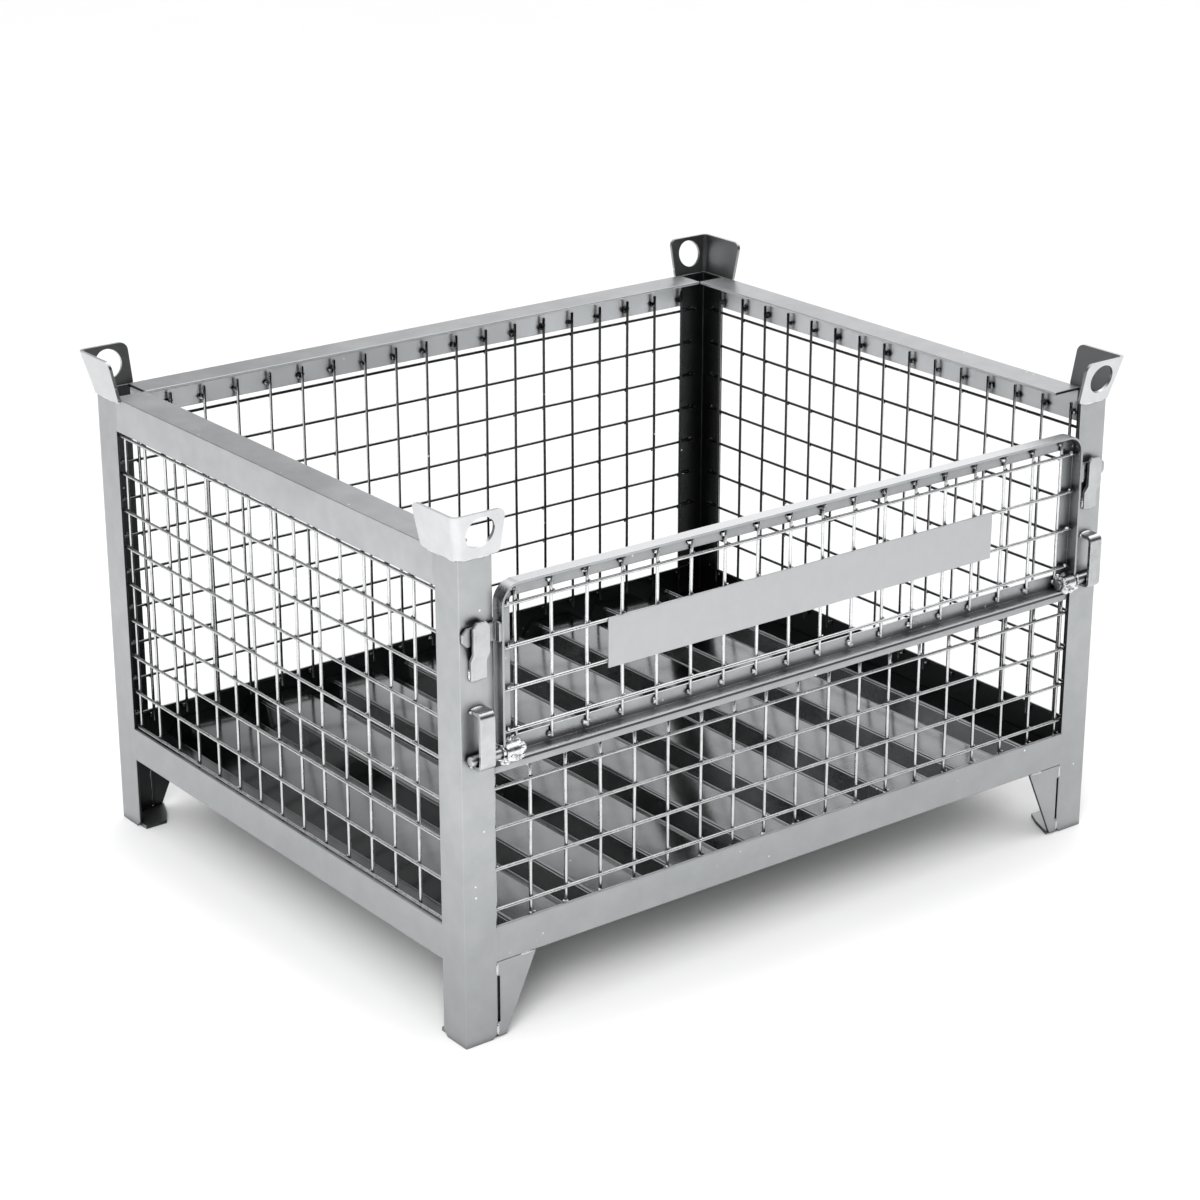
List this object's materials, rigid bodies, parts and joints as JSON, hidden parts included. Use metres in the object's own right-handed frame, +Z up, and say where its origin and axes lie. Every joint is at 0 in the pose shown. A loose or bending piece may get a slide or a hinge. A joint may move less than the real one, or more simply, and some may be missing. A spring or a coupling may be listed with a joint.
{
  "type": "wire mesh container",
  "caption": "Stackable steel wire mesh pallet container with a ribbed sheet floor, flared stacking corners and a half-height drop flap in the front wall.",
  "frame": {"origin": "on the ground, under the middle of the four posts", "axes": "+X along the front wall to the right as seen from the front, +Y from the front (flap) wall to the back, +Z up"},
  "size_m": [1.0322, 0.8361, 0.648],
  "materials": {
    "section": "zinc-plated steel section, satin with soft cloudy patches",
    "wire": "bright zinc-plated drawn wire",
    "sheet": "smooth zinc-coated sheet, glossier than the sections"
  },
  "bodies": {
    "frame": {"post_front_left": "section", "post_front_right": "section", "post_back_left": "section", "post_back_right": "section", "foot_gusset_front_left": "section", "foot_gusset_front_right": "section", "foot_gusset_back_left": "section", "foot_gusset_back_right": "section", "foot_plate_front_left": "section", "foot_plate_front_right": "section", "foot_plate_back_left": "section", "foot_plate_back_right": "section", "base_rail_front": "section", "base_rail_back": "section", "base_rail_left": "section", "base_rail_right": "section", "floor_sheet": "sheet", "top_rail_left": "section", "top_rail_right": "section", "top_rail_back": "section", "mid_rail": "section", "mesh_front": "wire", "mesh_back": "wire", "mesh_left": "wire", "mesh_right": "wire", "corner_bracket_front_left": "section", "corner_bracket_front_right": "section", "corner_bracket_back_left": "section", "corner_bracket_back_right": "section", "hook_left": "section", "hook_right": "section", "pin_guide_left": "section", "pin_guide_right": "section"},
    "flap_pins": {"flap_pin_left": "section", "flap_pin_right": "section"},
    "flap": {"flap_frame": "section", "flap_bottom_rail": "section", "flap_mesh": "wire", "sign_plate": "sheet", "flap_tab_left": "section", "flap_tab_right": "section", "pin_saddle_left": "section", "pin_saddle_right": "section"}
  },
  "joints": [
    {"name": "flap_lift", "type": "slide", "parent": "frame", "child": "flap_pins", "axis": [0, 0, 1], "range_m": [0, 0.04]},
    {"name": "flap_swing", "type": "hinge", "parent": "flap_pins", "child": "flap", "pos_m": [0, -0.408, 0.36], "axis": [1, 0, 0], "range_deg": [0, 180]}
  ]
}
